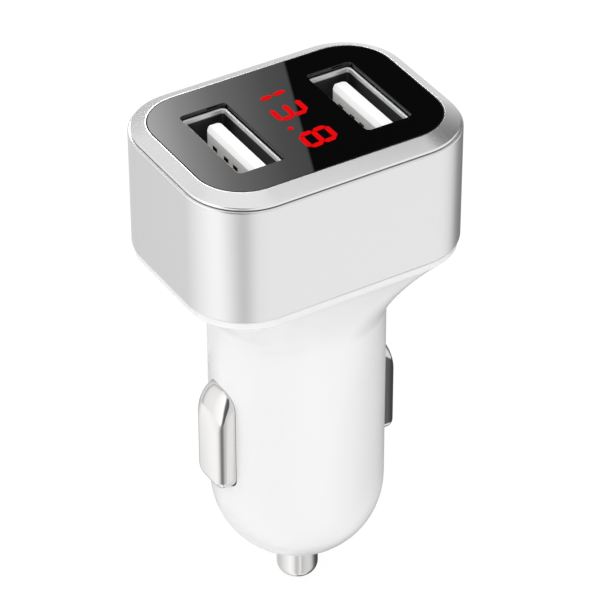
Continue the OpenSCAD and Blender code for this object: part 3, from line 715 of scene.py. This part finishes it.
# What metal mirrors: a white sweep, with grey flags that give the corners their bands
def studioWorld():
    low = [(-180, 1.16), (-160, 1.32), (-140, 1.1), (-128, 0.72), (-118, 0.72), (-104, 1.05), (-30, 1.05),
           (-8, 0.85), (8, 0.2), (56, 0.2), (64, 0.8), (120, 0.74), (150, 0.95), (180, 1.16)]
    raised = [(-180, 1.4), (-164, 1.4), (-152, 0.2), (-118, 0.06), (-104, 0.85), (-10, 0.92), (3, 0.92),
              (8, 0.12), (17, 0.06), (22, 0.2), (30, 0.42), (38, 0.6), (46, 0.82), (58, 0.88), (66, 0.66),
              (76, 0.55), (90, 0.7), (112, 0.92), (118, 0.5), (127, 1.0), (150, 1.25), (180, 1.4)]
    world = bpy.data.worlds.new("studio")
    bpy.context.scene.world = world
    world.use_nodes = True
    tree = world.node_tree
    tree.nodes.clear()
    place = addNode(tree, "ShaderNodeTexCoord").outputs["Generated"]
    compass = addNode(tree, "ShaderNodeTexGradient", gradient_type="RADIAL",
                      links={"Vector": place}).outputs["Fac"]
    height = addNode(tree, "ShaderNodeSeparateXYZ", links={"Vector": place}).outputs["Z"]
    zenith = addNode(tree, "ShaderNodeRGB")
    zenith.outputs[0].default_value = (stage["zenith"], stage["zenith"], stage["zenith"], 1)
    sides = blendTones(tree, height, stage["lowEdge"], toneRamp(tree, compass, low),
                       toneRamp(tree, compass, raised))
    sky = blendTones(tree, height, stage["zenithEdge"], sides, zenith.outputs[0])
    mirrored = addNode(tree, "ShaderNodeBackground", links={"Color": sky})
    ambient = addNode(tree, "ShaderNodeBackground",
                      inputs={"Color": (1, 1, 1, 1), "Strength": stage["ambient"]})
    seen = addNode(tree, "ShaderNodeBackground", inputs={"Color": (1, 1, 1, 1), "Strength": 1.0})
    inner = lightPathMix(tree, mirrored.outputs[0], ambient.outputs[0],
                         ("Is Glossy Ray", "Is Transmission Ray"))
    outer = lightPathMix(tree, seen.outputs[0], inner)
    addNode(tree, "ShaderNodeOutputWorld", links={"Surface": outer})


def floorPiece():
    deselectAll()
    bpy.ops.mesh.primitive_plane_add(size=stage["floorSize"], location=(0, 0, stage["floorZ"]))
    floor = bpy.context.object
    floor.name = "floor"
    bakePlace(floor)
    material, tree = emptyMaterial("pale_floor")
    paint = addNode(tree, "ShaderNodeBsdfDiffuse", inputs={"Color": hexColour(stage["floorColour"])})
    white = addNode(tree, "ShaderNodeEmission",
                    inputs={"Color": (1, 1, 1, 1), "Strength": stage["floorGlow"]})
    share = addNode(tree, "ShaderNodeMixShader", inputs={"Fac": stage["glowShare"]})
    tree.links.new(paint.outputs[0], share.inputs[1])
    tree.links.new(white.outputs[0], share.inputs[2])
    clear = addNode(tree, "ShaderNodeBsdfTransparent")
    seen = lightPathMix(tree, share.outputs[0], paint.outputs[0])
    surface = lightPathMix(tree, clear.outputs[0], seen, ("Is Glossy Ray", "Is Transmission Ray"))
    addNode(tree, "ShaderNodeOutputMaterial", links={"Surface": surface})
    wear(floor, material)


def areaLamp(name, settings):
    data = bpy.data.lights.new(name, "AREA")
    data.shape = "SQUARE"
    data.size = settings["size"]
    data.energy = settings["power"]
    lamp = bpy.data.objects.new(name, data)
    bpy.context.collection.objects.link(lamp)
    lamp.location = settings["place"]
    toAim = Vector(settings["aim"]) - Vector(settings["place"])
    lamp.rotation_euler = toAim.to_track_quat("-Z", "Y").to_euler()
    lamp.visible_glossy = False    # the cards and the world are what the gloss shows


# Shader that glows in mirror reflections only, as (share of the card's width, strength)
def cardLight(name, tones):
    material, tree = emptyMaterial(name)
    place = addNode(tree, "ShaderNodeTexCoord").outputs["UV"]
    parts = addNode(tree, "ShaderNodeSeparateXYZ", links={"Vector": place})
    curve = addNode(tree, "ShaderNodeFloatCurve", links={"Value": parts.outputs["X"]})
    points = curve.mapping.curves[0].points
    highest = max(tone for _, tone in tones)
    for number, (along, tone) in enumerate(tones):
        point = points[number] if number < 2 else points.new(0, 0)
        point.location = (along, tone / highest)
        point.handle_type = "VECTOR"
    curve.mapping.update()
    scaled = addNode(tree, "ShaderNodeMath", operation="MULTIPLY", links={0: curve.outputs["Value"]},
                     inputs={1: highest})
    glow = addNode(tree, "ShaderNodeEmission", links={"Strength": scaled.outputs["Value"]})
    clear = addNode(tree, "ShaderNodeBsdfTransparent")
    surface = lightPathMix(tree, glow.outputs[0], clear.outputs[0], ("Is Glossy Ray",))
    addNode(tree, "ShaderNodeOutputMaterial", links={"Surface": surface})
    return material


# Half black, half grey that brightens outwards: its straight edge shows across the polished panel
def panelCard():
    card = {"azimuth": 59.0, "elevation": 36.7, "distance": 0.16, "halfWidth": 0.06, "height": 0.085,
            "tilt": 15.0, "tones": [(0.0, 0.02), (0.4702, 0.02), (0.4717, 0.8), (0.502, 0.92), (0.58, 1.85),
                                    (0.63, 3.2), (0.7, 6.2), (1.0, 7.5)]}
    azimuth, elevation = math.radians(card["azimuth"]), math.radians(card["elevation"])
    outward = Vector((math.cos(azimuth) * math.cos(elevation),
                      math.sin(azimuth) * math.cos(elevation), math.sin(elevation)))
    left = Vector((-math.sin(azimuth), math.cos(azimuth), 0))
    up = left.cross(outward)
    tilt = math.radians(card["tilt"])
    edgeUp = up * math.cos(tilt) + left * math.sin(tilt)
    centre = Vector((0, 0, head["panelTop"])) + outward * card["distance"]
    deselectAll()
    bpy.ops.mesh.primitive_plane_add(size=1)
    piece = bpy.context.object
    piece.name = "panel_card"
    for vertex, (across, high) in zip(piece.data.vertices, ((-1, -1), (1, -1), (-1, 1), (1, 1))):
        vertex.co = centre + left * across * card["halfWidth"] + edgeUp * high * card["height"] / 2
    wear(piece, cardLight("panel_card_light", card["tones"]))


# Small upright sweeps round the contacts and the tip, from one compass direction to the other
metalCards = {
    "near_contact": {
        "centre": -12 * mm, "radius": 24 * mm, "from": 70, "to": 290, "low": -36 * mm, "high": -8 * mm,
        "tones": [(0.0, 0.42), (0.1, 0.5), (0.17, 0.8), (0.23, 1.24), (0.44, 1.16), (0.56, 0.8), (0.65, 0.35),
                  (0.73, 0.2), (0.79, 0.34), (0.88, 0.68), (1.0, 0.84)],
    },
    "far_contact": {
        "centre": 12 * mm, "radius": 24 * mm, "from": -110, "to": 60, "low": -36 * mm, "high": -8 * mm,
        "tones": [(0.0, 0.8), (0.16, 0.5), (0.24, 0.26), (0.3, 0.12), (0.42, 0.07), (1.0, 0.07)],
    },
    "tip": {
        "centre": 0.0, "radius": 13 * mm, "from": -100, "to": 40, "low": -54 * mm, "high": -25 * mm,
        "tones": [(0.0, 0.62), (0.1, 0.8), (0.26, 0.88), (0.38, 0.82), (0.46, 0.55), (0.57, 0.16),
                  (0.72, 0.08), (1.0, 0.08)],
    },
}


def metalCard(name, card):
    deselectAll()
    bpy.ops.mesh.primitive_grid_add(x_subdivisions=44, y_subdivisions=1, size=1)
    piece = bpy.context.object
    piece.name = name + "_card"
    for vertex in piece.data.vertices:
        angle = math.radians(card["from"] + (card["to"] - card["from"]) * (vertex.co.x + 0.5))
        height = card["low"] if vertex.co.y < 0 else card["high"]
        along, across = card["radius"] * math.cos(angle), card["radius"] * math.sin(angle)
        vertex.co = (card["centre"] + along, across, height)
    wear(piece, cardLight(name + "_light", card["tones"]))


# Camera at the photograph's viewing angle
def photoCamera():
    view = {"azimuth": -31.1, "elevation": 36.6, "roll": -0.2, "distance": 393.7 * mm, "targetZ": 9.4 * mm,
            "focalPx": 3359.0, "centreX": 296.4, "centreY": 329.3, "framePx": 600.0, "sensor": 36.0,
            "nearest": 0.01}
    azimuth, elevation = math.radians(view["azimuth"]), math.radians(view["elevation"])
    back = Vector((math.sin(azimuth) * math.cos(elevation),
                   -math.cos(azimuth) * math.cos(elevation), math.sin(elevation)))
    data = bpy.data.cameras.new("photo_camera")
    camera = bpy.data.objects.new("photo_camera", data)
    bpy.context.collection.objects.link(camera)
    camera.location = Vector((0, 0, view["targetZ"])) + back * view["distance"]
    right = Vector((math.cos(azimuth), math.sin(azimuth), 0))
    level = Matrix((right, back.cross(right), back)).transposed()
    camera.rotation_euler = (level @ Matrix.Rotation(math.radians(view["roll"]), 3, "Z")).to_euler()
    data.sensor_width = view["sensor"]
    data.lens = view["focalPx"] / view["framePx"] * data.sensor_width
    data.shift_x = (view["framePx"] / 2 - view["centreX"]) / view["framePx"]
    data.shift_y = (view["centreY"] - view["framePx"] / 2) / view["framePx"]
    data.clip_start = view["nearest"]
    bpy.context.scene.camera = camera


studioWorld()
floorPiece()
panelCard()
for cardName, cardSettings in metalCards.items():
    metalCard(cardName, cardSettings)
for lampName, lampSettings in lamps.items():
    areaLamp(lampName, lampSettings)
photoCamera()
bpy.context.scene.view_settings.view_transform = "Standard"
print("stage set")
